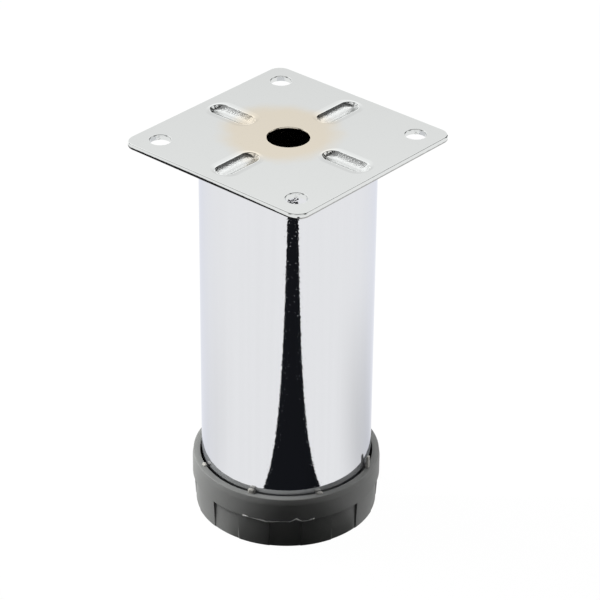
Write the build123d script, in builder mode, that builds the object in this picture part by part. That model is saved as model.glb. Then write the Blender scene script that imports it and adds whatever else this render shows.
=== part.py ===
"""Round furniture leg with a screw-on mounting plate and a height-adjustable foot.

A chrome-plated steel tube is projection welded under a pressed square plate. A moulded plug in
the tube's lower end holds a steel nut, and the foot cup turns on a screw that runs in that nut.
Millimetres, +Z up. The origin is on the floor, under the middle of the foot.
"""

import os
from math import cos, radians

from build123d import *

# Overall
leg_height = 120.0  # floor to plate top, foot screwed home

# Mounting plate, punched from sheet
plate_side = 65.0
plate_thickness = 1.5
plate_corner_radius = 4.0
plate_edge_chamfer = 0.4  # upper edge, rolled over by the punch
screw_hole_margin = 7.5  # hole centre to the plate's edge
screw_hole_diameter = 6.0
centre_hole_diameter = 12.0
hole_edge_chamfer = 0.3

# Stiffening grooves, pressed down into the plate
groove_count = 4
groove_start_radius = 12.7  # inner end, from the plate's middle
groove_edge_margin = 3.7  # outer end to the plate's edge
groove_width = 6.6
groove_depth = 1.1
groove_lip_chamfer = 0.5

# Tube
tube_diameter = 50.0
tube_wall = 1.2
tube_end_chamfer = 0.3
weld_clearance = 0.05  # tube end to the beads under the plate

# Adjusting screw and its nut
thread_diameter = 8.0
screw_length = 25.0  # under the head
screw_tip_chamfer = 1.0
head_across_flats = 13.0
head_height = 5.3
nut_across_flats = 13.0
nut_height = 6.5
thread_clearance = 0.05  # radial, screw in nut and screw in foot
head_clearance = 0.08  # head corners to the pocket in the foot
head_play = 0.05  # above the head

# Foot cup
rim_height = 17.2
rim_gap = 0.6  # tube to the inner wall at the mouth
mouth_chamfer = 0.55  # lead-in for the tube
rim_width = 1.75  # inner wall to the rim's outer corner
rim_edge_chamfer = 0.7
rim_slope_height = 2.0  # slanted collar under the rim
rim_slope_width = 0.35
parting_height = 9.6  # lower edge of the smooth band
grip_step = 0.3  # from the band in to the raised panels
grip_draft = 0.5  # radius lost from the parting line to the sole
grip_recess_depth = 0.7  # at the parting line
grip_foot_depth = 0.15  # left of it at the sole
grip_count = 9
sole_chamfer = 0.6
sole_thickness = 3.5
sole_gap = 0.5  # tube to the inner wall at the sole
head_floor = 2.0  # plastic under the screw's head
head_wall = 2.6  # boss around the head
head_cover = 1.2  # boss over the head
foot_angle = -49.0  # direction of one grip recess when the foot is screwed home

# Centring ribs inside the mouth of the cup
rib_count = 8
rib_width = 1.9
rib_clearance = 0.1  # rib to tube

# Plug in the lower end of the tube
flange_thickness = 1.5
flange_margin = 0.4  # flange edge inside the tube's outer wall
plug_clearance = 0.1  # skirt in the tube
skirt_height = 12.0
skirt_wall = 1.8
plug_floor = 2.5
plug_boss_wall = 1.8
plug_rib_count = 6
plug_rib_width = 1.6
well_clearance = 0.8  # plug around and over the foot's boss
nut_pocket_clearance = 0.05
nut_cover = 2.5  # plastic over the nut
screw_hole_clearance = 0.5

# Worked out from the sizes above
tube_radius = tube_diameter / 2
tube_bore_radius = tube_radius - tube_wall
plate_bottom = leg_height - plate_thickness
plate_middle = leg_height - plate_thickness / 2
screw_hole_spacing = plate_side - 2 * screw_hole_margin
groove_end_radius = plate_side / 2 - groove_edge_margin
groove_radius = (groove_width**2 / 4 + groove_depth**2) / (2 * groove_depth)
groove_axis_height = leg_height + groove_radius - groove_depth
groove_first_centre = groove_start_radius + groove_width / 2
groove_last_centre = groove_end_radius - groove_width / 2
tube_bottom = sole_thickness + flange_thickness
thread_radius = thread_diameter / 2
head_corner_radius = head_across_flats / 2 / cos(radians(30))
nut_corner_radius = nut_across_flats / 2 / cos(radians(30))
head_top = head_floor + head_height
head_pocket_radius = head_corner_radius + head_clearance
boss_radius = head_pocket_radius + head_wall
boss_top = head_top + head_play + head_cover
well_radius = boss_radius + well_clearance
nut_bottom = boss_top + well_clearance
nut_top = nut_bottom + nut_height
mouth_radius = tube_radius + rim_gap
band_radius = mouth_radius + rim_width + rim_slope_width
collar_height = rim_height - rim_slope_height
panel_top_radius = band_radius - grip_step
panel_foot_radius = panel_top_radius - grip_draft
grip_sector = 180 / grip_count  # raised panels and recesses are equally wide


def pressed_form(radius):
    """Round-ended bar along +X over the plate: the groove's punch, or the outside of its bead."""
    with BuildPart() as form:
        with BuildSketch(Plane((0, 0, groove_axis_height), (1, 0, 0), (0, -1, 0))):
            with Locations(((groove_first_centre + groove_last_centre) / 2, 0)):
                SlotCenterToCenter(groove_last_centre - groove_first_centre, 2 * radius)
                Rectangle(
                    groove_end_radius + 2 * radius,
                    radius,
                    align=(Align.CENTER, Align.MAX),
                    mode=Mode.SUBTRACT,
                )
        revolve(axis=Axis((0, 0, groove_axis_height), (1, 0, 0)))
    return form.part


def lower_half(form):
    """What of a pressed form lies below the middle of the sheet."""
    with BuildPart() as half:
        add(form)
        split(bisect_by=Plane.XY.offset(plate_middle), keep=Keep.BOTTOM)
    return half.part


groove_punch = pressed_form(groove_radius)
groove_bead = lower_half(pressed_form(groove_radius + plate_thickness))
bead_notch = lower_half(pressed_form(groove_radius + plate_thickness + weld_clearance))

# Mounting plate: a rounded square, beads below and grooves above, then the holes
with BuildPart() as mounting_plate:
    with BuildSketch(Plane.XY.offset(plate_bottom)):
        RectangleRounded(plate_side, plate_side, plate_corner_radius)
    extrude(amount=plate_thickness)
    chamfer(mounting_plate.faces().sort_by(Axis.Z)[-1].edges(), plate_edge_chamfer)
    with PolarLocations(0, groove_count):
        add(groove_bead)
    with PolarLocations(0, groove_count):
        add(groove_punch, mode=Mode.SUBTRACT)
    groove_lips = mounting_plate.faces().sort_by(Axis.Z)[-1].inner_wires()
    chamfer([edge for lip in groove_lips for edge in lip.edges()], groove_lip_chamfer)
    with Locations((0, 0, leg_height)):
        Hole(centre_hole_diameter / 2)
    chamfer(mounting_plate.edges(Select.LAST).group_by(Axis.Z)[-1], hole_edge_chamfer)
    with Locations((0, 0, leg_height)):
        with GridLocations(screw_hole_spacing, screw_hole_spacing, 2, 2):
            Hole(screw_hole_diameter / 2)
    chamfer(mounting_plate.edges(Select.LAST).group_by(Axis.Z)[-1], hole_edge_chamfer)

# Tube: its upper end is notched where the weld sank it over the plate's beads
with BuildPart() as leg_tube:
    with BuildSketch(Plane.XY.offset(tube_bottom)):
        Circle(tube_radius)
        Circle(tube_bore_radius, mode=Mode.SUBTRACT)
    extrude(amount=plate_bottom - tube_bottom)
    chamfer(leg_tube.faces().sort_by(Axis.Z)[0].edges(), tube_end_chamfer)
    with PolarLocations(0, groove_count):
        add(bead_notch, mode=Mode.SUBTRACT)

# Plug: flange under the tube's end, skirt pressed inside it, and a boss for the nut
with BuildPart() as tube_plug:
    with BuildSketch(Plane.XY.offset(sole_thickness)):
        Circle(tube_radius - flange_margin)
    extrude(amount=flange_thickness)
    with BuildSketch(Plane.XY.offset(sole_thickness)):
        Circle(tube_bore_radius - plug_clearance)
    extrude(amount=plug_floor)
    with BuildSketch(Plane.XY.offset(tube_bottom)):
        Circle(tube_bore_radius - plug_clearance)
        Circle(tube_bore_radius - plug_clearance - skirt_wall, mode=Mode.SUBTRACT)
    extrude(amount=skirt_height)
    with BuildSketch(Plane.XY.offset(sole_thickness)):
        Circle(well_radius + plug_boss_wall)
    extrude(amount=nut_top + nut_cover - sole_thickness)
    with BuildSketch(Plane.XY.offset(tube_bottom)):
        with PolarLocations(0, plug_rib_count):
            Rectangle(
                tube_bore_radius - plug_clearance - skirt_wall / 2,
                plug_rib_width,
                align=(Align.MIN, Align.CENTER),
            )
    extrude(amount=skirt_height)
    with BuildSketch(Plane.XY.offset(sole_thickness)):
        Circle(well_radius)
    extrude(amount=nut_bottom - sole_thickness, mode=Mode.SUBTRACT)
    with BuildSketch(Plane.XY.offset(nut_bottom)):
        RegularPolygon(nut_corner_radius + nut_pocket_clearance, 6)
    extrude(amount=nut_height, mode=Mode.SUBTRACT)
    with BuildSketch(Plane.XY.offset(nut_top)):
        Circle(thread_radius + screw_hole_clearance)
    extrude(amount=nut_cover, mode=Mode.SUBTRACT)

# Nut, pushed up into its pocket; its plain bore stands at the thread's outer diameter
with BuildPart() as captive_nut:
    with BuildSketch(Plane.XY.offset(nut_bottom)):
        RegularPolygon(nut_corner_radius, 6)
        Circle(thread_radius + thread_clearance, mode=Mode.SUBTRACT)
    extrude(amount=nut_height)

# Screw: head down in the foot, shank up through the nut
with BuildPart() as adjusting_screw:
    with BuildSketch(Plane.XY.offset(head_floor)):
        RegularPolygon(head_corner_radius, 6)
    extrude(amount=head_height)
    with BuildSketch(Plane.XY.offset(head_top)):
        Circle(thread_radius)
    extrude(amount=screw_length)
    chamfer(adjusting_screw.faces().sort_by(Axis.Z)[-1].edges(), screw_tip_chamfer)

# One recess of the grip, running out at the sole and chamfered there like the panels beside it
with BuildPart() as grip_recess:
    recess_foot_radius = panel_foot_radius - grip_foot_depth
    with BuildSketch(Plane.XZ):
        with BuildLine():
            Polyline(
                (band_radius, 0),
                (band_radius, parting_height),
                (panel_top_radius - grip_recess_depth, parting_height),
                (recess_foot_radius, sole_chamfer),
                (recess_foot_radius - sole_chamfer, 0),
                close=True,
            )
        make_face()
    revolve(axis=Axis.Z, revolution_arc=grip_sector)

# Foot cup: turned outline, hollow for the tube's end, a boss for the head, grip and ribs
with BuildPart() as foot_cup:
    with BuildSketch(Plane.XZ) as cup_section:
        with BuildLine():
            Polyline(
                (0, 0),
                (panel_foot_radius, 0),
                (panel_top_radius, parting_height),
                (band_radius, parting_height),
                (band_radius, collar_height),
                (mouth_radius + rim_width, rim_height),
                (mouth_radius, rim_height),
                (tube_radius + sole_gap, sole_thickness),
                (boss_radius, sole_thickness),
                (boss_radius, boss_top),
                (thread_radius + thread_clearance, boss_top),
                (thread_radius + thread_clearance, head_top + head_play),
                (head_pocket_radius, head_top + head_play),
                (head_pocket_radius, head_floor),
                (0, head_floor),
                close=True,
            )
        make_face()
        sole_corner = cup_section.vertices().group_by(Axis.Y)[0].sort_by(Axis.X)[-1]
        chamfer(sole_corner, sole_chamfer)
        mouth_corner = cup_section.vertices().group_by(Axis.Y)[-1].sort_by(Axis.X)[0]
        chamfer(mouth_corner, mouth_chamfer)
        rim_corner = cup_section.vertices().group_by(Axis.Y)[-1].sort_by(Axis.X)[-1]
        chamfer(rim_corner, rim_edge_chamfer)
    revolve(axis=Axis.Z)
    with PolarLocations(0, grip_count, start_angle=foot_angle - grip_sector / 2):
        add(grip_recess.part, mode=Mode.SUBTRACT)
    with BuildSketch(Plane.XY.offset(parting_height)):
        with PolarLocations(0, rib_count, start_angle=foot_angle + 180 / rib_count):
            with Locations((tube_radius, 0)):
                Rectangle(rim_gap + rim_width / 2, rib_width, align=(Align.MIN, Align.CENTER))
        Circle(tube_radius + rib_clearance, mode=Mode.SUBTRACT)
    extrude(amount=rim_height - parting_height)

os.makedirs("parts", exist_ok=True)
for name, piece in (
    ("mounting_plate", mounting_plate),
    ("leg_tube", leg_tube),
    ("tube_plug", tube_plug),
    ("captive_nut", captive_nut),
    ("adjusting_screw", adjusting_screw),
    ("foot_cup", foot_cup),
):
    piece.part.label = name
    export_step(piece.part, f"parts/{name}.step")
    print(name, round(piece.part.volume, 1), "mm3")
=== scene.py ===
# %% [markdown]
# # A chrome furniture leg on an adjustable foot
# This leg carries a cabinet or a sofa. A short steel tube is welded under a pressed plate, both
# are plated with chrome, and a plastic foot at the lower end screws up and down to level the
# furniture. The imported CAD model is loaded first, because it sets the box that every piece keeps
# to and the bodies that move. The lesson then models a finer piece over each visible solid and
# gives each one a finish.

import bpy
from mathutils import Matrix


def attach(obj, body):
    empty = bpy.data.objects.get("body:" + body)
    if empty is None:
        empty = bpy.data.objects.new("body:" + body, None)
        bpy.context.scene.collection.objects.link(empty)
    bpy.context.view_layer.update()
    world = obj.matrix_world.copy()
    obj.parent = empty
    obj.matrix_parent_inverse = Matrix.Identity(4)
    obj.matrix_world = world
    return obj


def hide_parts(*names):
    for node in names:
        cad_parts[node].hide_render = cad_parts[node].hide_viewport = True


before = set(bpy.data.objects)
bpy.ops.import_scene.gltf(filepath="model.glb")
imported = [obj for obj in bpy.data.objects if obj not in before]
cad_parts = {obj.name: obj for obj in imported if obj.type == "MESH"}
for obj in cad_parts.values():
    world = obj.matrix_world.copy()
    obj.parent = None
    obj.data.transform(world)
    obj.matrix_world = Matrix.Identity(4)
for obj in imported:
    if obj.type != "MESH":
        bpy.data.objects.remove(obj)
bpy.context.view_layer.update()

# %% [markdown]
# Blender works in metres and this leg is drawn in millimetres, so one constant converts. Operators
# act on everything that is selected, so each piece begins with an empty selection. Most of the leg
# is round, and a lathe is the natural way to make it: a chain of vertices is extruded along the
# half profile and then spun round the axis. A boolean of such turned tools does what a press
# would do.

# %% Tools for the bench
import math

import bmesh
import bpy
from mathutils import Matrix, Vector

MM = 0.001
TOUCHING = 0.001 * MM


def alone():
    """Leaves edit mode and selects nothing, so that the next operator meets its own piece only."""
    if bpy.context.mode != "OBJECT":
        bpy.ops.object.mode_set(mode="OBJECT")
    bpy.ops.object.select_all(action="DESELECT")


def open_up(name):
    """Names the primitive just added, puts its place into its mesh and opens it in edit mode."""
    piece = bpy.context.object
    piece.name = name
    piece.data.name = name
    bpy.ops.object.transform_apply(location=True, rotation=True, scale=True)
    bpy.ops.object.mode_set(mode="EDIT")
    bpy.ops.mesh.select_mode(type="VERT")
    bpy.ops.mesh.select_all(action="SELECT")
    return piece


def arc(centre, radius, first, last, steps):
    """Points along an arc in a profile, in millimetres and degrees, both ends included."""
    angles = [math.radians(first + (last - first) * i / steps) for i in range(steps + 1)]
    return [(centre[0] + radius * math.cos(a), centre[1] + radius * math.sin(a)) for a in angles]


def trail(name, places):
    """One vertex, extruded from place to place (x, y, z) in millimetres."""
    alone()
    bpy.ops.mesh.primitive_plane_add(size=MM, location=[v * MM for v in places[0]])
    piece = open_up(name)
    bpy.ops.mesh.merge(type="CENTER")
    for here, there in zip(places, places[1:]):
        step = [(b - a) * MM for a, b in zip(here, there)]
        bpy.ops.mesh.extrude_vertices_move(TRANSFORM_OT_translate={"value": step})
    return piece


def chain(name, points):
    """A trail along a half profile (radius, height)."""
    return trail(name, [(radius, 0, height) for radius, height in points])


def turn(steps):
    """Spins the open profile once round the axis and closes its seam and its poles."""
    bpy.ops.mesh.select_all(action="SELECT")
    bpy.ops.mesh.spin(steps=steps, angle=math.tau, center=(0, 0, 0), axis=(0, 0, 1))
    bpy.ops.mesh.select_all(action="SELECT")
    bpy.ops.mesh.remove_doubles(threshold=TOUCHING)
    bpy.ops.mesh.normals_make_consistent(inside=False)


def pick(kind, test):
    """In edit mode, selects the verts, edges or faces that pass a test, and counts them."""
    modes = {"verts": "VERT", "edges": "EDGE", "faces": "FACE"}
    bpy.ops.mesh.select_mode(type=modes[kind])
    bpy.ops.mesh.select_all(action="DESELECT")
    shape = bmesh.from_edit_mesh(bpy.context.object.data)
    found = [part for part in getattr(shape, kind) if test(part)]
    for part in found:
        part.select_set(True)
    bmesh.update_edit_mesh(bpy.context.object.data)
    return len(found)


def swing(degrees):
    """In edit mode, turns the selection about the leg's axis; the operator runs clockwise."""
    bpy.ops.transform.rotate(
        value=-math.radians(degrees), orient_axis="Z", center_override=(0, 0, 0)
    )


def round_copies(count):
    """In edit mode, repeats the whole mesh round the leg's axis."""
    bpy.ops.mesh.select_all(action="SELECT")
    for _ in range(count - 1):
        bpy.ops.mesh.duplicate()
        swing(360 / count)


def cut(piece, tool, operation):
    """Applies a boolean with a tool, and clears the tool away."""
    alone()
    piece.select_set(True)
    bpy.context.view_layer.objects.active = piece
    modifier = piece.modifiers.new(tool.name, "BOOLEAN")
    modifier.operation = operation
    modifier.solver = "EXACT"
    modifier.object = tool
    bpy.ops.object.modifier_apply(modifier=modifier.name)
    bpy.data.objects.remove(tool)


def smooth(piece, angle):
    """Smooth shading up to an angle, with large flat faces left truly flat."""
    alone()
    piece.select_set(True)
    bpy.context.view_layer.objects.active = piece
    bpy.ops.object.shade_smooth_by_angle(angle=math.radians(angle))
    modifier = piece.modifiers.new("flat faces lead", "WEIGHTED_NORMAL")
    modifier.weight = 100
    modifier.keep_sharp = True
    bpy.ops.object.modifier_apply(modifier=modifier.name)


def triangles(piece):
    """How many triangles a finished piece has."""
    piece.data.calc_loop_triangles()
    return len(piece.data.loop_triangles)


# %% [markdown]
# Finishes come next. Colours are written as sRGB hex codes, the way a designer reads them off a
# sample, and Blender's shaders want linear light, so one function converts them. Another adds a
# node with its settings and links. The rest are short names for the nodes that every finish needs:
# a noise, a colour between two tones, a ramp and a bump.

# %% Helpers for finishes


def linear(code):
    """Linear colour of an sRGB hex code."""
    parts = [int(code[i : i + 2], 16) / 255 for i in (0, 2, 4)]
    return [p / 12.92 if p <= 0.04045 else ((p + 0.055) / 1.055) ** 2.4 for p in parts] + [1.0]


def node(tree, kind, inputs=None, **settings):
    """Adds a node; an input is either a value or the output socket that feeds it."""
    made = tree.nodes.new(kind)
    for name, value in settings.items():
        setattr(made, name, value)
    for key, value in (inputs or {}).items():
        if isinstance(value, bpy.types.NodeSocket):
            tree.links.new(value, made.inputs[key])
        else:
            made.inputs[key].default_value = value
    return made


def finish_named(name):
    """A new material with its tree, its shader and its object coordinates."""
    material = bpy.data.materials.new(name)
    material.use_nodes = True
    tree = material.node_tree
    place = tree.nodes.new("ShaderNodeTexCoord").outputs["Object"]
    return material, tree, tree.nodes["Principled BSDF"], place


def fed(kind, first, second=None):
    """A sum in the tree that is being built; its second number may be left out."""
    numbers = {0: first} if second is None else {0: first, 1: second}
    return node(tree, "ShaderNodeMath", numbers, operation=kind).outputs["Value"]


def per_mm(size):
    """Texture scale that makes a pattern about this many millimetres wide."""
    return 1 / (size * MM)


def noise(tree, vector, size, detail):
    """A noise about this many millimetres wide."""
    feeds = {"Vector": vector, "Scale": per_mm(size), "Detail": detail}
    return node(tree, "ShaderNodeTexNoise", feeds).outputs["Fac"]


def stretched(tree, vector, scale):
    """A place whose axes are scaled, so that a pattern on it is drawn out into streaks."""
    feeds = {"Vector": vector, "Scale": scale}
    return node(tree, "ShaderNodeMapping", feeds).outputs["Vector"]


def tone(tree, factor, low, high):
    """A colour between two, each a hex code or the socket that feeds it."""
    low, high = (linear(end) if isinstance(end, str) else end for end in (low, high))
    feeds = {"Factor": factor, 6: low, 7: high}
    return node(tree, "ShaderNodeMix", feeds, data_type="RGBA").outputs[2]


def ramp(tree, value, ends, results, shape="LINEAR"):
    """Carries a value between two ends over to two results, and holds it beyond them."""
    feeds = {"Value": value, "From Min": ends[0], "From Max": ends[1]}
    feeds |= {"To Min": results[0], "To Max": results[1]}
    return node(tree, "ShaderNodeMapRange", feeds, interpolation_type=shape).outputs["Result"]


def bumped(tree, height, distance, strength=1.0, under=None):
    """A normal bent by a height of this many millimetres, over another normal if there is one."""
    feeds = {"Height": height, "Strength": strength, "Distance": distance * MM}
    if under is not None:
        feeds["Normal"] = under
    return node(tree, "ShaderNodeBump", feeds).outputs["Normal"]


def plain_finish(name, size, detail, tones, roughness, metallic=0.0):
    """A finish of one roughness whose colour wanders between two tones."""
    material, tree, shader, place = finish_named(name)
    cloud = noise(tree, place, size, detail)
    tree.links.new(tone(tree, cloud, *tones), shader.inputs["Base Color"])
    shader.inputs["Roughness"].default_value = roughness
    shader.inputs["Metallic"].default_value = metallic
    return material


print("white as written:", [round(v, 3) for v in linear("ffffff")])

# %% [markdown]
# Bright chrome plating is a mirror with a faintly blue-grey colour, bluer where the view grazes it.
# The steel under it is drawn, not polished, so faint streaks run along it, and the mirror has a
# fine orange peel: reflections are sharp but their edges are ragged. A noise bump under
# a millimetre wide gives the peel, and sparse dots of a cell pattern give pits.

# %% Chrome-plated steel
mirror_roughness = 0.04
peel_size, peel_height = 0.5, 0.0055
pit_spacing, pit_reach, pit_depth = 0.9, 0.15, 0.008
chrome, tree, shader, place = finish_named("bright_chrome_plating")
shader.inputs["Metallic"].default_value = 1.0
shader.inputs["Specular Tint"].default_value = linear("eff1f8")
shader.inputs["Roughness"].default_value = mirror_roughness
drawn = noise(tree, stretched(tree, place, (1.0, 1.0, 0.01)), size=1.6, detail=3.0)
tree.links.new(tone(tree, drawn, "e0e1e4", "e4e5e8"), shader.inputs["Base Color"])
peeled_skin = bumped(tree, noise(tree, place, peel_size, detail=0.0), peel_height)
cells = node(tree, "ShaderNodeTexVoronoi", {"Vector": place, "Scale": per_mm(pit_spacing)})
pits = ramp(tree, cells.outputs["Distance"], (0.0, pit_reach), (0.0, 1.0), "SMOOTHSTEP")
pitted_skin = bumped(tree, pits, pit_depth, under=peeled_skin)
tree.links.new(pitted_skin, shader.inputs["Normal"])
print("finish:", chrome.name)

# %% [markdown]
# The plate was plated flat against its rack. Chrome is laid on thinly in the middle of a sheet, and
# round the centre hole the warm nickel layer under it shows through as a cream patch. The patch is
# a soft-edged disc made from the distance to its centre, with noise that makes the edge wander.

# %% Chrome with a nickel patch
plate_chrome = chrome.copy()
plate_chrome.name = "chrome_plating_worn_to_nickel"
tree = plate_chrome.node_tree
shader = tree.nodes["Principled BSDF"]
place = tree.nodes["Texture Coordinate"].outputs["Object"]
shader.inputs["Specular Tint"].default_value = linear("ffffff")
rolled_flat = 0.4
for skin in tree.nodes:
    if skin.type == "BUMP":
        skin.inputs["Strength"].default_value = rolled_flat
patch_centre = (-3.6 * MM, 0.2 * MM, 120 * MM)
patch_radius = 16.2
patch_full, patch_gone = patch_radius - 0.8, patch_radius + 6.4
patch_wander = 6.0
wander = noise(tree, place, size=9.0, detail=3.0)
reach = node(tree, "ShaderNodeVectorMath", {0: place, 1: patch_centre}, operation="DISTANCE")
edge = fed("ADD", fed("MULTIPLY", wander, patch_wander * MM), reach.outputs["Value"])
patch = ramp(tree, edge, (patch_full * MM, patch_gone * MM), (1.0, 0.0), "SMOOTHSTEP")
tint = tone(tree, patch, "e0e2e1", "e3dac9")
print("patch:", 2 * patch_radius, "mm across")

# %% [markdown]
# A punched edge has two zones. The punch shears the upper part clean, and the rest tears off, rough
# and a little darker, along a ragged line. On the front left side the lower part of the edge is
# painted black, a painted reflection of the dark room that this side faces, bowed so that it fades
# out towards the ends. Each mask is a product of tests on the place.

# %% Torn zone of the punched edge, and a painted dark reflection
edge_zone = 31.0
tear_low, tear_wander = 118.85, 0.3
# Painted reflection: a black band on the front left edge stands in for the dark room that the edge
# mirrors.
dark_reflection_side, dark_reflection_low, dark_reflection_wander = -31.5, 119.22, 0.2
dark_reflection_middle, dark_reflection_bow = -6.0, 0.28
spot = node(tree, "ShaderNodeSeparateXYZ", {"Vector": place})
outward = fed("MAXIMUM", fed("ABSOLUTE", spot.outputs["X"]), fed("ABSOLUTE", spot.outputs["Y"]))
ragged = noise(tree, place, size=1.2, detail=2.0)
tear_line = fed("ADD", fed("MULTIPLY", ragged, tear_wander * MM), tear_low * MM)
torn = fed(
    "MULTIPLY",
    fed("GREATER_THAN", outward, edge_zone * MM),
    fed("LESS_THAN", spot.outputs["Z"], tear_line),
)
off_middle = fed("SUBTRACT", spot.outputs["X"], dark_reflection_middle * MM)
bowed = fed("MULTIPLY", fed("MULTIPLY", off_middle, off_middle), dark_reflection_bow)
dark_reflection_line = fed("ADD", fed("MULTIPLY", ragged, dark_reflection_wander * MM), dark_reflection_low * MM)
painted_dark_reflection = fed(
    "MULTIPLY",
    fed("LESS_THAN", spot.outputs["Y"], dark_reflection_side * MM),
    fed("LESS_THAN", spot.outputs["Z"], fed("SUBTRACT", dark_reflection_line, bowed)),
)
torn_tint = tone(tree, torn, tint, "a9a9a8")
# The black here is a painted reflection of the dark room in the front left edge.
painted_dark_reflection_tint = tone(tree, painted_dark_reflection, torn_tint, "141415")
tree.links.new(painted_dark_reflection_tint, shader.inputs["Base Color"])
print("torn line at", tear_low, "to", round(tear_low + tear_wander, 2), "mm")

# %% [markdown]
# Pressing stretches the sheet, so the grooves and the holes' walls are duller and coarser than the
# flat that was polished by the rolls. The depth below the plate's face tells where that is.

# %% Dull pressed sheet
pressed_low, pressed_high = 119.7, 119.97
pressed_share = 0.25
torn_roughness = 0.3
pebble_size, pebble_height = 0.35, 0.06
depth_range = (pressed_low * MM, pressed_high * MM)
pressed = ramp(tree, spot.outputs["Z"], depth_range, (1.0, 0.0))
inside = fed("MULTIPLY", pressed, fed("LESS_THAN", outward, edge_zone * MM))
rough = fed("MAXIMUM", torn, fed("MULTIPLY", inside, pressed_share))
dulled = ramp(tree, rough, (0.0, 1.0), (mirror_roughness, torn_roughness))
tree.links.new(dulled, shader.inputs["Roughness"])
pebbles = noise(tree, place, pebble_size, detail=1.0)
plain_skin = shader.inputs["Normal"].links[0].from_socket
coarse_skin = bumped(tree, pebbles, pebble_height, strength=inside, under=plain_skin)
tree.links.new(coarse_skin, shader.inputs["Normal"])
print("finish:", plate_chrome.name)

# %% [markdown]
# The inside of the tube is never plated well: it stays a dull, dark steel with streaks along the
# draw. That is why the hole in the middle of the plate looks black.

# %% Bare steel inside the tube
bare_steel, tree, shader, place = finish_named("bare_drawn_steel")
shader.inputs["Metallic"].default_value = 1.0
shader.inputs["Roughness"].default_value = 0.5
scale_marks = noise(tree, stretched(tree, place, (1.0, 1.0, 0.05)), size=1.5, detail=4.0)
tree.links.new(tone(tree, scale_marks, "3a3937", "6a6764"), shader.inputs["Base Color"])
print("finish:", bare_steel.name)

# %% [markdown]
# The foot is injection-moulded polypropylene, mid grey, slightly waxy. Its mould was turned, so
# fine level streaks run round it over an even finer grain. Where polypropylene is scraped it turns
# pale and matt, and where it tore it is nearly white; both finishes are also painted paler than
# that, as a painted highlight for small edges that catch the light, so both get a finish of their
# own.

# %% Grey polypropylene
grain_size, grain_height = 0.5, 0.03
streak_size, streak_height = 0.7, 0.03
grey_plastic, tree, shader, place = finish_named("moulded_grey_polypropylene")
cloud = noise(tree, place, size=7.0, detail=4.0)
tree.links.new(tone(tree, cloud, "626362", "6e6f6d"), shader.inputs["Base Color"])
tree.links.new(ramp(tree, cloud, (0.0, 1.0), (0.38, 0.52)), shader.inputs["Roughness"])
grain = noise(tree, place, grain_size, detail=3.0)
streaks = noise(tree, stretched(tree, place, (0.03, 0.03, 1.0)), streak_size, detail=3.0)
grained_skin = bumped(tree, grain, grain_height, strength=0.5)
turned_skin = bumped(tree, streaks, streak_height, under=grained_skin)
tree.links.new(turned_skin, shader.inputs["Normal"])
# The scraped and torn finishes are pale partly from real whitening and partly as a painted
# highlight.
scraped_and_highlit_plastic = plain_finish(
    "scraped_grey_polypropylene_and_painted_highlight", size=0.6, detail=3.0, tones=("7c7b77", "aaa9a4"), roughness=0.5
)
torn_and_highlit_plastic = plain_finish(
    "torn_grey_polypropylene_and_painted_highlight", size=0.6, detail=3.0, tones=("cfcfcc", "f4f4f2"), roughness=0.5
)
print("finishes:", grey_plastic.name, scraped_and_highlit_plastic.name, torn_and_highlit_plastic.name)

# %% [markdown]
# The plug in the tube is the same kind of plastic in black, and the screw and nut are steel with a
# thin zinc coat: greyer than chrome, and matt enough to blur what they reflect.

# %% Black polypropylene and zinc-plated steel
black_plastic = plain_finish(
    "moulded_black_polypropylene", size=4.0, detail=4.0, tones=("19191a", "232324"), roughness=0.5
)
zinc = plain_finish(
    "bright_zinc_plating",
    size=0.8,
    detail=3.0,
    tones=("aeb2b6", "c6c9cc"),
    roughness=0.32,
    metallic=1.0,
)
print("finishes:", black_plastic.name, zinc.name)

# %% [markdown]
# The mounting plate is punched from sheet, so its upper edge is rolled over and its corners are
# round. Four grooves are pressed into it, and each leaves a bead on the lower side. The plate
# starts as a cube that is bevelled in three steps, and press tools with the groove's exact section
# do the rest.

# %% Plate blank
plate_top = 120.0
sheet = 1.5
plate_side = 65.0
corner_round, roll_over, burr = 4.0, 0.4, 0.2
alone()
bpy.ops.mesh.primitive_cube_add(
    size=1,
    location=(0, 0, (plate_top - sheet / 2) * MM),
    scale=(plate_side * MM, plate_side * MM, sheet * MM),
)
plate = open_up("mounting_plate_chromed")


def upright(edge):
    """True for an edge that runs up the sheet's thickness."""
    return abs(edge.verts[0].co.z - edge.verts[1].co.z) > sheet / 3 * MM


def at_height(height):
    """A test for edges that lie at one height."""
    return lambda edge: all(abs(v.co.z - height * MM) < 10 * TOUCHING for v in edge.verts)


corners = pick("edges", upright)
bpy.ops.mesh.bevel(offset=corner_round * MM, segments=20, affect="EDGES")
rolled = pick("edges", at_height(plate_top))
bpy.ops.mesh.bevel(offset=roll_over * MM, segments=8, affect="EDGES")
burred = pick("edges", at_height(plate_top - sheet))
bpy.ops.mesh.bevel(offset=burr * MM, segments=2, affect="EDGES")
print("plate blank:", corners, "corners,", rolled, "edges above,", burred, "below")

# %% [markdown]
# A groove is a round-ended trough with a soft lip. From above its ends are half circles, so the
# tool is turned like a bowl. The ends are steeper than the sides, so each ring of the bowl is
# stretched towards the lip. Then one half is pulled outward: extruding it as one region draws the
# straight sides between the two ends. The bead tool is made in the same way, a sheet thicker.

# %% Press tools for the grooves
trough, lip, dish = 5.0, 1.0, 40.0
wall_slope, lip_slope, dish_slope = 34.0, 3.5, 1.5
groove_first = 16.4
groove_run = 9.1
tip_share = 0.4
bead_share = 0.7
lead_out = 0.2
headroom = 1.0
tool_steps = 64


def rise(radius, first, last):
    """How far a profile climbs along an arc, between two slopes in degrees."""
    return abs(radius * (math.cos(math.radians(first)) - math.cos(math.radians(last))))


groove_depth = rise(trough, 0, wall_slope) + rise(lip, wall_slope, lip_slope)
groove_depth += rise(dish, lip_slope, dish_slope)
trough_height = plate_top + trough - groove_depth


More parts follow.
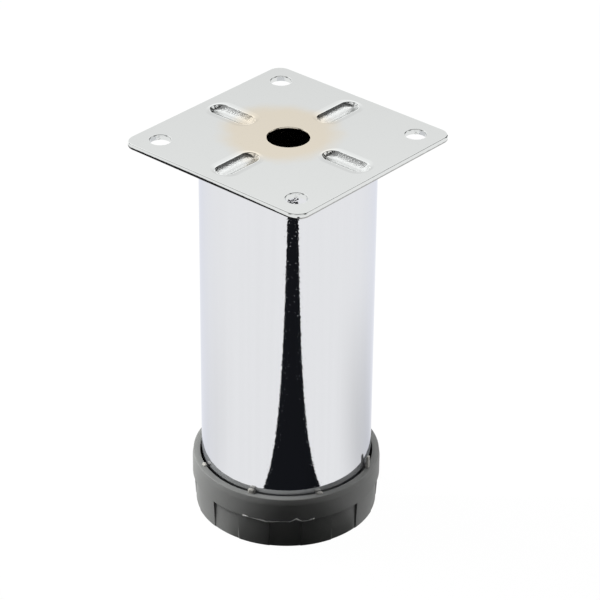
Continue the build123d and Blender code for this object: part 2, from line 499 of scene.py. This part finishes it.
def pulled_tool(name, profile, outline, share):
    """Turns a bowl, steepens its tip, pulls its outer half outward and repeats it on four sides."""
    tool = chain(name, profile)
    turn(tool_steps)
    for radius, height in profile:
        if radius > 0:
            pick("verts", lambda vert: abs(vert.co.z - height * MM) < TOUCHING / 2)
            tip = outline - (outline - radius) * share
            bpy.ops.transform.resize(value=(tip / radius, 1, 1), center_override=(0, 0, 0))
    bpy.ops.mesh.select_all(action="SELECT")
    bpy.ops.transform.translate(value=(groove_first * MM, 0, 0))
    pick("faces", lambda face: face.calc_center_median().x > groove_first * MM)
    bpy.ops.mesh.extrude_region_move(
        TRANSFORM_OT_translate={"value": (groove_run * MM, 0, 0)}
    )
    round_copies(4)
    bpy.ops.object.mode_set(mode="OBJECT")
    return tool


def flared(points, slope):
    """Leads a cutting profile out of the sheet at its last slope, and closes it above."""
    x, z = points[-1]
    wide = x + lead_out
    climb = lead_out * math.tan(math.radians(slope))
    return points + [(wide, z + climb), (wide, plate_top + headroom), (0, plate_top + headroom)]


def rolled_over(points, radius, first, last, steps):
    """Adds an arc that rolls a climbing profile over from one slope to a gentler one."""
    x, z = points[-1]
    lean = math.radians(90 + first)
    centre = (x - radius * math.cos(lean), z - radius * math.sin(lean))
    return points + arc(centre, radius, 90 + first, 90 + last, steps)[1:]


punch_profile = arc((0, trough_height), trough, -90, wall_slope - 90, steps=14)
punch_profile = rolled_over(punch_profile, lip, wall_slope, lip_slope, steps=8)
groove_half = punch_profile[-1][0]
punch_profile = rolled_over(punch_profile, dish, lip_slope, dish_slope, steps=5)
punch = pulled_tool("groove_punch", flared(punch_profile, dish_slope), groove_half, tip_share)

bead = trough + sheet
bead_top = plate_top - sheet / 2
bead_angle = math.degrees(math.asin((trough_height - bead_top) / bead))


def bead_section(radius):
    """Half section of a bead of this radius, closed inside the sheet."""
    return arc((0, trough_height), radius, -90, -bead_angle, steps=12) + [(0, bead_top)]


bead_profile = bead_section(bead)
bead_half = bead_profile[-2][0]
beads = pulled_tool("groove_beads", bead_profile, bead_half, bead_share)
print("tools:", triangles(punch), "triangles in the punch,", triangles(beads), "in the beads")

# %% [markdown]
# The holes are drilled with turned tools too, each with a small round at its mouth. All the cutting
# tools are joined, so that one boolean does the whole pressing.

# %% Drill tools, and the pressing
drill_tip = plate_top - 4
drill_flare = 5
screw_reach, screw_hole, centre_hole = 25, 3.0, 6.0
hole_round = 0.3


def drill(name, radius, places, steps):
    """A turned drill with a rounded mouth, copied to each place."""
    mouth_centre = (radius + hole_round, plate_top - hole_round)
    mouth_arc = arc(mouth_centre, hole_round, 180, 90 + drill_flare, steps=5)
    tool = chain(name, flared([(0, drill_tip), (radius, drill_tip)] + mouth_arc, drill_flare))
    turn(steps)
    bpy.ops.transform.translate(value=(places[0][0] * MM, places[0][1] * MM, 0))
    for here, there in zip(places, places[1:]):
        bpy.ops.mesh.duplicate()
        step = ((there[0] - here[0]) * MM, (there[1] - here[1]) * MM, 0)
        bpy.ops.transform.translate(value=step)
    bpy.ops.object.mode_set(mode="OBJECT")
    return tool


screw_places = [(x * screw_reach, y * screw_reach) for x, y in ((1, 1), (-1, 1), (-1, -1), (1, -1))]
screw_drill = drill("screw_holes", screw_hole, screw_places, steps=64)
centre_drill = drill("centre_hole", centre_hole, [(0, 0)], steps=96)
alone()
for tool in (punch, screw_drill, centre_drill):
    tool.select_set(True)
bpy.context.view_layer.objects.active = punch
bpy.ops.object.join()
cut(plate, beads, "UNION")
cut(plate, punch, "DIFFERENCE")
smooth(plate, 35)
plate.data.materials.append(plate_chrome)
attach(plate, "leg")
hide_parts("mounting_plate")
print("plate:", triangles(plate), "triangles")

# %% [markdown]
# The tube is cut from drawn steel and its lower end is chamfered. It is turned from a closed
# section. Its upper end sank over the beads when it was welded, so the bead tool, made a hair
# larger, notches it. The bore gets the bare steel: its faces are found by their distance from the
# axis.

# %% Leg tube
tube_radius, tube_bore = 25.0, 23.8
tube_low, tube_high = 5.0, plate_top - sheet
end_chamfer = 0.3
weld_gap = 0.05
bore_slack = 0.2
tube = chain(
    "leg_tube_chromed",
    [
        (tube_bore + end_chamfer, tube_low),
        (tube_radius - end_chamfer, tube_low),
        (tube_radius, tube_low + end_chamfer),
        (tube_radius, tube_high),
        (tube_bore, tube_high),
        (tube_bore, tube_low + end_chamfer),
        (tube_bore + end_chamfer, tube_low),
    ],
)
turn(256)
bpy.ops.object.mode_set(mode="OBJECT")
notches = pulled_tool("weld_notches", bead_section(bead + weld_gap), bead_half, bead_share)
cut(tube, notches, "DIFFERENCE")
tube.data.materials.append(chrome)
tube.data.materials.append(bare_steel)
bore_faces = 0
for face in tube.data.polygons:
    if math.hypot(face.center.x, face.center.y) < (tube_bore + bore_slack) * MM:
        face.material_index = 1
        bore_faces += 1
smooth(tube, 30)
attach(tube, "leg")
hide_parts("leg_tube")
print("tube:", triangles(tube), "triangles,", bore_faces, "faces in the bore")

# %% [markdown]
# The foot is a moulded cup. It is turned whole: sole, wall, rim, the hollow that the tube dips into
# and the boss that holds the screw's head. The columns are half a degree apart, so that the grip
# can be shaped afterwards: every second sector of the lower wall is scaled in towards the axis,
# most under the parting line and hardly at all at the sole.

# %% Foot cup
band, band_lip = 27.7, 0.15
mouth, hollow_side, hollow_floor = 25.42, 25.5, 3.5
rim_top, rim_round, rim_centre = 17.05, 0.26, 27.2
parting = 9.6
panel_top, panel_middle, panel_foot = 27.4, 27.15, 26.9
sole_round = 0.6
boss, boss_top, boss_bore = 10.19, 8.55, 4.05
pocket, pocket_top, pocket_floor = 7.59, 7.35, 2.0
cup_profile = [(0, 0), (12, 0), (24, 0)]
cup_profile += arc((panel_foot - sole_round, sole_round), sole_round, -90, -3, steps=5)
cup_profile += [(panel_middle, 5), (panel_top, parting - 0.25), (panel_top, parting)]
cup_profile += arc((band - band_lip, parting + band_lip), band_lip, -90, 0, steps=3)
cup_profile += [(band, 12.5), (band, 15.0), (band - 0.04, 15.35)]
cup_profile += arc((rim_centre, rim_top - rim_round), rim_round, 10, 90, steps=5)
cup_profile += [(25.66, rim_top), (25.48, rim_top - 0.08), (mouth, rim_top - 0.25)]
cup_profile += [(mouth, parting), (hollow_side, hollow_floor)]
cup_profile += [(boss, hollow_floor), (boss, boss_top), (boss_bore, boss_top)]
cup_profile += [(boss_bore, pocket_top), (pocket, pocket_top), (pocket, pocket_floor)]
cup_profile += [(0, pocket_floor)]
cup = chain("foot_cup_moulded", cup_profile)
turn(720)

foot_angle = -49.0
grip_sector, sector_margin = 20.0, 0.25
grip_depth, grip_foot_depth = 0.7, 0.15
grip_radius = 27.2
sole_edge, outer_wall, hollow_above = 24.5, 26.5, 2.5
parting_above = parting + 0.01


def in_recess(vert):
    """True on the lower wall, inside one of the recesses of the grip."""
    radius = math.hypot(vert.co.x, vert.co.y) / MM
    if not sole_edge < radius < panel_top + 0.1 or vert.co.z / MM > parting_above:
        return False
    if vert.co.z / MM > hollow_above and radius < outer_wall:
        return False
    turned = math.degrees(math.atan2(vert.co.y, vert.co.x)) - foot_angle + grip_sector / 2
    return sector_margin < turned % (2 * grip_sector) < grip_sector - sector_margin


pushed = 0
for low, high, depth in (
    (-0.1, 1.0, grip_foot_depth),
    (1.0, 6.0, (grip_depth + grip_foot_depth) / 2),
    (6.0, parting_above, grip_depth),
):
    pushed += pick("verts", lambda vert: in_recess(vert) and low < vert.co.z / MM <= high)
    inward = 1 - depth / grip_radius
    bpy.ops.transform.resize(value=(inward, inward, 1), center_override=(0, 0, 0))
bpy.ops.object.mode_set(mode="OBJECT")
smooth(cup, 35)
cup.data.materials.append(grey_plastic)
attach(cup, "foot_cup")
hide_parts("foot_cup")
print("foot cup:", triangles(cup), "triangles,", pushed, "vertices pushed in")

# %% [markdown]
# Eight ribs centre the tube in the cup. The tube has shaved their tips, so they show as small pale
# lumps in the gap, one of them pushed up and one drawn out to a sliver; their pale colour is partly
# scraped plastic and partly a painted highlight where the tips catch the light. A tip is a bevelled
# cube, copied round the axis.

# %% Rib tips
rib_count = 8
rib_angle = -26.5
tip_radius, tip_height = 25.75, 16.55
tip_depth, tip_side, tip_round = 1.2, 1.9, 0.45
alone()
bpy.ops.mesh.primitive_cube_add(
    size=1,
    location=(tip_radius * MM, 0, tip_height * MM),
    scale=(tip_depth * MM, tip_side * MM, tip_side * MM),
)
tips = open_up("rib_tips")
bpy.ops.mesh.bevel(offset=tip_round * MM, segments=3, affect="EDGES")
bpy.ops.mesh.select_all(action="SELECT")
swing(rib_angle)
round_copies(rib_count)


def on_rib(step):
    """A test for the upper vertices of one tip, counted in steps round the axis."""
    aim = math.radians(rib_angle + 360 / rib_count * step)
    toward = Vector((math.cos(aim), math.sin(aim), 0))
    return lambda vert: vert.co.dot(toward) > 23 * MM and vert.co.z > (tip_height + 0.05) * MM


pushed_up = pick("verts", on_rib(-1))
bpy.ops.transform.translate(value=(0, 0, 0.8 * MM))
drawn_out = pick("verts", on_rib(1))
bpy.ops.transform.translate(value=(0.3 * MM, 0, 3.4 * MM))
bpy.ops.transform.resize(value=(0.45, 0.7, 0.5))
bpy.ops.object.mode_set(mode="OBJECT")
smooth(tips, 40)
# The pale tips are partly scraped plastic and partly a painted highlight.
tips.data.materials.append(scraped_and_highlit_plastic)
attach(tips, "foot_cup")
print("rib tips:", triangles(tips), "triangles,", pushed_up + drawn_out, "vertices moved")

# %% [markdown]
# Where the two halves of the mould met, molten plastic crept out as flash: a paper-thin jagged fin
# along the parting line. A trail of vertices follows the line, and two extrusions give it a body.
# Its near-white colour is partly torn plastic and partly a painted highlight along the edge that
# catches the light.

# %% Flash on the parting line
fin_heights = [9.7, 9.6, 9.5, 9.3, 9.0, 9.2, 9.45, 9.5, 9.45, 10.4, 9.4, 9.4, 9.9]
fin_first, fin_step, fin_middle = -75.5, 3.7, -55
fin_width, fin_thickness = 0.45, 0.32
fin_places = []
for count, fin_height in enumerate(fin_heights):
    aim = math.radians(fin_first + fin_step * count)
    reach = band - 0.1 if fin_height > parting else panel_top - 0.15
    fin_places.append((reach * math.cos(aim), reach * math.sin(aim), fin_height))
fin = trail("moulding_flash", fin_places)
aim = math.radians(fin_middle)
fin_out = (fin_width * MM * math.cos(aim), fin_width * MM * math.sin(aim), 0)
bpy.ops.mesh.select_all(action="SELECT")
bpy.ops.mesh.extrude_edges_move(TRANSFORM_OT_translate={"value": fin_out})
bpy.ops.mesh.select_all(action="SELECT")
bpy.ops.mesh.extrude_region_move(TRANSFORM_OT_translate={"value": (0, 0, fin_thickness * MM)})
bpy.ops.mesh.select_all(action="SELECT")
bpy.ops.mesh.normals_make_consistent(inside=False)
bpy.ops.object.mode_set(mode="OBJECT")
# The near-white finish is partly torn plastic and partly a painted highlight.
fin.data.materials.append(torn_and_highlit_plastic)
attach(fin, "foot_cup")
print("flash:", triangles(fin), "triangles")

# %% [markdown]
# The plug, the nut and the screw stay hidden inside the tube. Their solids are shown as they are,
# each with its own finish.

# %% Finishes for the hidden pieces
for name, material in (
    ("tube_plug", black_plastic),
    ("captive_nut", zinc),
    ("adjusting_screw", zinc),
):
    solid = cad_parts[name]
    solid.data.materials.clear()
    solid.data.materials.append(material)
    print("finish on", name, "is", material.name)

# %% [markdown]
# The studio is a white table. For the camera and for mirror reflections the floor is white light,
# so the chrome shows it, and other light meets a matt white. The chrome also mirrors the shade
# beside the leg: the white light is a little weaker on the right of the leg and, less so, on the
# left, and the shade fades with the distance.

# %% Floor
floor_side = 3.0
floor_height, cloth_height = -0.02, -0.01
lit_for_camera = 0.99
shade_right, shade_left = 0.25, 0.07
alone()
bpy.ops.mesh.primitive_plane_add(size=floor_side, location=(0, 0, floor_height * MM))
floor = bpy.context.object
floor.name = "studio_floor"
floor_finish, tree, shader, place = finish_named("white_table")
tree.nodes.remove(shader)
path = node(tree, "ShaderNodeLightPath").outputs
seen_lit = fed("MULTIPLY", path["Is Camera Ray"], lit_for_camera)
lit_share = fed("MAXIMUM", seen_lit, path["Is Glossy Ray"])


def within(value, centre, half, soft):
    """One inside a band round a centre, nothing outside it, with a soft border."""
    off = fed("ABSOLUTE", fed("SUBTRACT", value, centre))
    return ramp(tree, off, (half, half + soft), (1.0, 0.0), "SMOOTHSTEP")


spot = node(tree, "ShaderNodeSeparateXYZ", {"Vector": place})
bearing = fed("DEGREES", fed("ARCTAN2", spot.outputs["Y"], spot.outputs["X"]))
range_out = node(tree, "ShaderNodeVectorMath", {0: place}, operation="LENGTH").outputs["Value"]
fall = within(range_out, centre=0.0, half=45 * MM, soft=125 * MM)
right_side = fed("MULTIPLY", within(bearing, centre=55.0, half=6.0, soft=44.0), shade_right)
left_side = fed("MULTIPLY", within(bearing, centre=-146.0, half=6.0, soft=32.0), shade_left)
shade = fed("MULTIPLY", fed("ADD", right_side, left_side), fall)
strength = fed("SUBTRACT", 1.0, fed("MULTIPLY", path["Is Glossy Ray"], shade))
matt = node(tree, "ShaderNodeBsdfDiffuse", {"Color": linear("f4f4f4")})
glow = node(tree, "ShaderNodeEmission", {"Color": linear("ffffff"), "Strength": strength})
blend = node(
    tree,
    "ShaderNodeMixShader",
    {0: lit_share, 1: matt.outputs["BSDF"], 2: glow.outputs["Emission"]},
)
tree.links.new(blend.outputs["Shader"], tree.nodes["Material Output"].inputs["Surface"])
floor.data.materials.append(floor_finish)
print("floor:", floor.name)

# %% [markdown]
# Dark cloth shapes what the chrome shows. A strip before the leg, towards the camera, is the black
# wedge in the tube, wide at the foot and narrow at the top, because the top sees the strip's far
# end. A wide cloth before the foot is met only by soft light, and keeps the table from brightening
# its front.

# %% Dark cloth
cloth, tree, shader, place = finish_named("black_cloth")
shader.inputs["Base Color"].default_value = linear("101114")
shader.inputs["Roughness"].default_value = 0.9
shader.inputs["Specular IOR Level"].default_value = 0.0


def cloth_on_floor(name, turn_by, near, far, half):
    """A cloth on the floor, from near to far along a direction and half its width to each side."""
    alone()
    bpy.ops.mesh.primitive_plane_add(size=1)
    made = open_up(name)
    bpy.ops.transform.resize(
        value=((far - near) * MM, 2 * half * MM, 1), center_override=(0, 0, 0)
    )
    bpy.ops.transform.translate(value=((near + far) / 2 * MM, 0, cloth_height * MM))
    swing(turn_by)
    bpy.ops.object.mode_set(mode="OBJECT")
    made.visible_camera = False
    made.visible_shadow = False
    made.data.materials.append(cloth)
    return made


strip = cloth_on_floor("dark_strip", turn_by=-42.5, near=20, far=234, half=25.5)
flag = cloth_on_floor("dark_flag", turn_by=-48.95, near=0, far=220, half=160)
flag.visible_glossy = False
print("dark cloth:", strip.name, flag.name)

# %% [markdown]
# Two large soft lamps stand left and right of the leg and a weaker one above. The camera's side
# stays dark, so the front of the foot is deep in shade while its sides are light. The lamps are
# hidden from mirror reflections, because the white table already fills the chrome.

# %% Lamps
camera_turn = 41.05
right_hand = (math.cos(math.radians(camera_turn)), math.sin(math.radians(camera_turn)))
away = (-right_hand[1], right_hand[0])
lamp_target = Vector((0, 0, 0.05))


def lamp(name, across, back, height, power):
    """A square soft lamp placed in the photographer's terms, aimed at the middle of the leg."""
    alone()
    x = across * right_hand[0] + back * away[0]
    y = across * right_hand[1] + back * away[1]
    bpy.ops.object.light_add(type="AREA", location=(x, y, height))
    made = bpy.context.object
    made.name = name
    made.data.size = 0.6
    made.data.energy = power
    aim = Vector((x, y, height)) - lamp_target
    made.rotation_euler = aim.to_track_quat("Z", "Y").to_euler()
    made.visible_glossy = False
    return made


lamps = [
    lamp("soft_left", across=-0.65, back=0.2, height=0.6, power=20.0),
    lamp("soft_right", across=0.65, back=0.2, height=0.6, power=6.5),
    lamp("soft_top", across=0.0, back=0.25, height=0.9, power=5.0),
]
print("lamps:", [made.name for made in lamps])

# %% [markdown]
# The world is white for the camera. In reflections it is a dark room with white cards behind the
# leg, at its sides and behind the camera, and the gaps between them draw dark lines on the plate.
# A ray's direction becomes two angles, its climb above the level and how far it points aside from
# the camera's own direction, and each card is a band of both. A grey ceiling closes the room.

# %% World
room_floor = 0.04
diffuse_level = 0.05
world = bpy.data.worlds.new("studio")
bpy.context.scene.world = world
world.use_nodes = True
tree = world.node_tree
background = tree.nodes["Background"]
path = node(tree, "ShaderNodeLightPath").outputs
look = node(tree, "ShaderNodeTexCoord").outputs["Generated"]
height = node(tree, "ShaderNodeSeparateXYZ", {"Vector": look}).outputs["Z"]


def towards(direction):
    """How far a ray points in a horizontal direction."""
    flat = {0: look, 1: (direction[0], direction[1], 0)}
    return node(tree, "ShaderNodeVectorMath", flat, operation="DOT_PRODUCT").outputs["Value"]


climb = fed("DEGREES", fed("ARCSINE", height))
aside = fed("DEGREES", fed("ARCTAN2", towards(right_hand), towards(away)))
off_axis = fed("ABSOLUTE", aside)
sweep = ramp(tree, climb, (24.0, 40.0), (0.85, 1.3))
back_card = fed("MULTIPLY", sweep, within(climb, centre=10.0, half=40.0, soft=3.0))
low_card = fed("MULTIPLY", within(climb, centre=0.0, half=14.0, soft=8.0), 1.35)
back_card = fed("MAXIMUM", back_card, low_card)
back_card = fed("MULTIPLY", back_card, within(aside, centre=-14.0, half=42.0, soft=4.0))
sideways = within(off_axis, centre=86.0, half=18.0, soft=3.0)
side_card = fed("MULTIPLY", within(climb, centre=14.0, half=30.0, soft=2.0), sideways)
behind = within(off_axis, centre=180.0, half=50.0, soft=8.0)
front_card = fed("MULTIPLY", within(climb, centre=34.0, half=30.0, soft=4.0), behind)
dusk = ramp(tree, aside, (-40.0, 40.0), (0.32, 0.16))
overhead = within(climb, centre=62.0, half=16.0, soft=4.0)
ceiling = fed("MULTIPLY", overhead, within(aside, centre=-24.0, half=86.0, soft=8.0))
ceiling = fed("MAXIMUM", fed("MULTIPLY", ceiling, dusk), room_floor)
cards = fed("MAXIMUM", fed("MAXIMUM", back_card, side_card), front_card)
room = fed("MAXIMUM", cards, ceiling)
mirrored = node(
    tree,
    "ShaderNodeMix",
    {0: path["Is Glossy Ray"], 2: diffuse_level, 3: room},
    data_type="FLOAT",
)
level = fed("MAXIMUM", mirrored.outputs[0], path["Is Camera Ray"])
tree.links.new(level, background.inputs["Strength"])
background.inputs["Color"].default_value = linear("ffffff")
print("world:", world.name)

# %% [markdown]
# The camera stands at the photographer's place: 41 degrees round to the right, looking down 31
# degrees through a long lens, so that the leg's sides stay nearly parallel.

# %% Camera
camera_place = (0.4291, -0.4872, 0.4542)
camera_tilt = 30.77
camera_roll = 0.56
camera_data = bpy.data.cameras.new("camera")
camera_data.sensor_width = 36.0
camera_data.lens = 158.28
camera_data.clip_start = 0.01
camera_data.clip_end = 20.0
camera = bpy.data.objects.new("camera", camera_data)
bpy.context.scene.collection.objects.link(camera)
camera.matrix_world = (
    Matrix.Translation(camera_place)
    @ Matrix.Rotation(math.radians(camera_turn), 4, "Z")
    @ Matrix.Rotation(math.radians(90 - camera_tilt), 4, "X")
    @ Matrix.Rotation(math.radians(camera_roll), 4, "Z")
)
bpy.context.scene.camera = camera
bpy.context.scene.view_settings.view_transform = "Standard"
print("camera at", [round(v, 3) for v in camera.matrix_world.translation])
